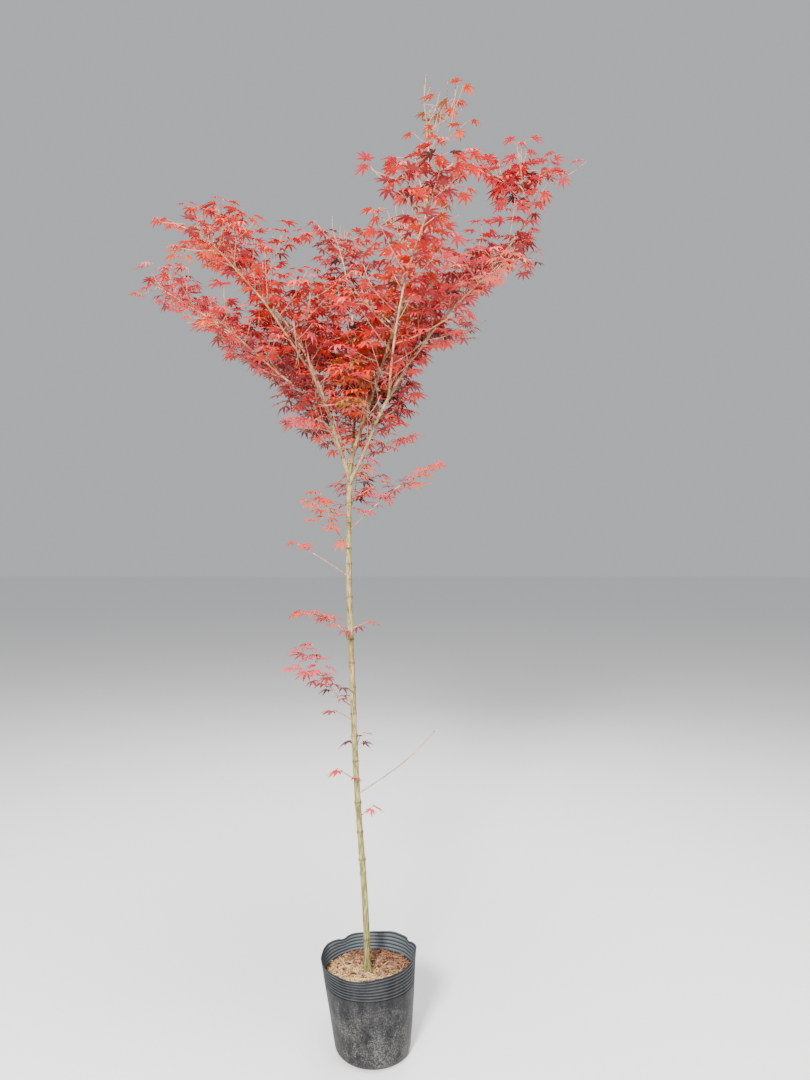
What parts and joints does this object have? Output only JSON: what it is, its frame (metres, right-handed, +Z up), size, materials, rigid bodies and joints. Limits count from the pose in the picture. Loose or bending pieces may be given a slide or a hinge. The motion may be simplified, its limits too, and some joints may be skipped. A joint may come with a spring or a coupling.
{
  "type": "potted japanese maple",
  "caption": "Young japanese maple in a soft nursery pot: a slim ringed trunk forks at head height into long boughs with open sprays of red palmate leaves.",
  "frame": {"origin": "middle of the pot's flat underside", "axes": "+Z up along the trunk; +X to the right and +Y away for a viewer who faces the plant"},
  "size_m": [1.2049, 1.168, 2.6292],
  "materials": {
    "pot_plastic": "soft black polyethylene, dusty and scuffed",
    "potting_mix": "loose coir fibre and husk chips, tan to reddish brown",
    "trunk_bark": "smooth young bark, greenish tan with pale patches and bud rings",
    "bough_bark": "smooth pinkish tan bark",
    "leaf_red": "thin satin leaves, red to salmon",
    "leaf_orange": "thin satin leaves, orange red"
  },
  "bodies": {
    "root": {"pot": "pot_plastic", "potting_mix": "potting_mix", "trunk": "trunk_bark", "leader": "bough_bark", "bough_left": "bough_bark", "bough_right": "bough_bark", "bough_back": "bough_bark", "bough_left_inner": "bough_bark", "bough_left_outer": "bough_bark", "bough_left_low": "bough_bark", "bough_front_left": "bough_bark", "bough_front_right": "bough_bark", "bough_back_right": "bough_bark", "spray_leader_tip": "leaf_red", "spray_leader_side": "leaf_red", "spray_leader_right": "leaf_red", "spray_leader_left": "leaf_red", "spray_leader_back": "leaf_red", "spray_leader_front": "leaf_red", "spray_leader_low": "leaf_red", "spray_leader_foot": "leaf_red", "spray_left_tip": "leaf_red", "spray_left_inner": "leaf_red", "spray_left_outer": "leaf_red", "spray_left_low": "leaf_red", "spray_left_mid": "leaf_red", "spray_left_back": "leaf_red", "spray_outer_side": "leaf_red", "spray_low_side": "leaf_red", "spray_right_tip": "leaf_red", "spray_right_upper": "leaf_red", "spray_right_mid": "leaf_red", "spray_right_back": "leaf_red", "spray_right_foot": "leaf_red", "spray_back_tip": "leaf_red", "spray_back_side": "leaf_red", "spray_front_left_tip": "leaf_red", "spray_front_right_tip": "leaf_red", "spray_back_right_tip": "leaf_red", "shoot_bare_right": "leaf_orange", "shoot_bud_low": "leaf_orange", "shoot_bud_mid": "leaf_orange", "shoot_bud_back": "leaf_orange", "shoot_bud_left": "leaf_orange", "shoot_left_low": "leaf_orange", "shoot_left_arch": "leaf_orange", "shoot_right_bud": "leaf_orange", "shoot_left_thin": "leaf_orange", "shoot_left_leafy": "leaf_orange", "shoot_right_high": "leaf_orange", "shoot_back": "leaf_orange"}
  },
  "joints": []
}
